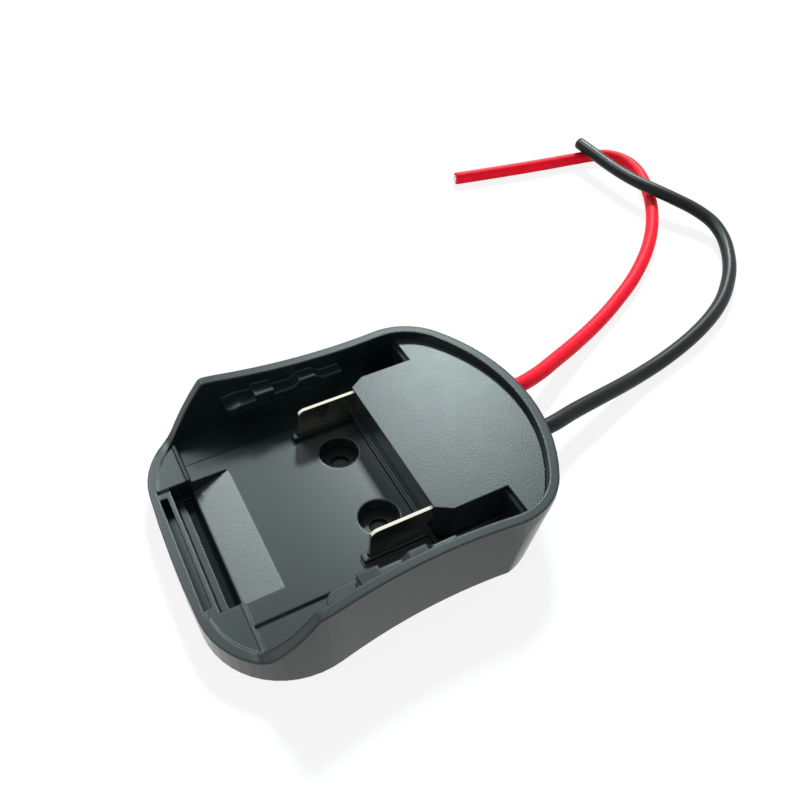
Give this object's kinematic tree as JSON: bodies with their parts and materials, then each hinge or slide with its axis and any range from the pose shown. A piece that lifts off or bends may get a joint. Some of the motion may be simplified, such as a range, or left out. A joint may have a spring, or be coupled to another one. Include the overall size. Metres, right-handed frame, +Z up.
{
  "type": "tool battery adapter",
  "caption": "Black moulded dock that a slide-on tool battery plugs into, with contact blades, a latch pocket and red and black leads.",
  "frame": {"origin": "on the base, under the middle of the dock's length and width", "axes": "+X towards the cable end, +Y across the dock towards the positive blade, +Z up out of the battery bay"},
  "size_m": [0.1935, 0.1452, 0.0184],
  "materials": {
    "housing_plastic": "satin black moulding",
    "block_plastic": "fine spark-eroded black moulding",
    "cover_plastic": "satin black moulding",
    "screw_steel": "zinc plated",
    "blade_metal": "nickel plated, smooth",
    "red_jacket": "soft red insulation",
    "black_jacket": "soft black insulation",
    "copper": "bare strands",
    "solder": "satin solder"
  },
  "bodies": {
    "root": {"dock_housing": "housing_plastic", "terminal_block": "block_plastic", "base_cover": "cover_plastic", "cover_screws": "screw_steel", "positive_blade": "blade_metal", "negative_blade": "blade_metal", "positive_wire": "red_jacket", "negative_wire": "black_jacket", "positive_conductor": "copper", "negative_conductor": "copper", "positive_solder": "solder", "negative_solder": "solder"}
  },
  "joints": []
}
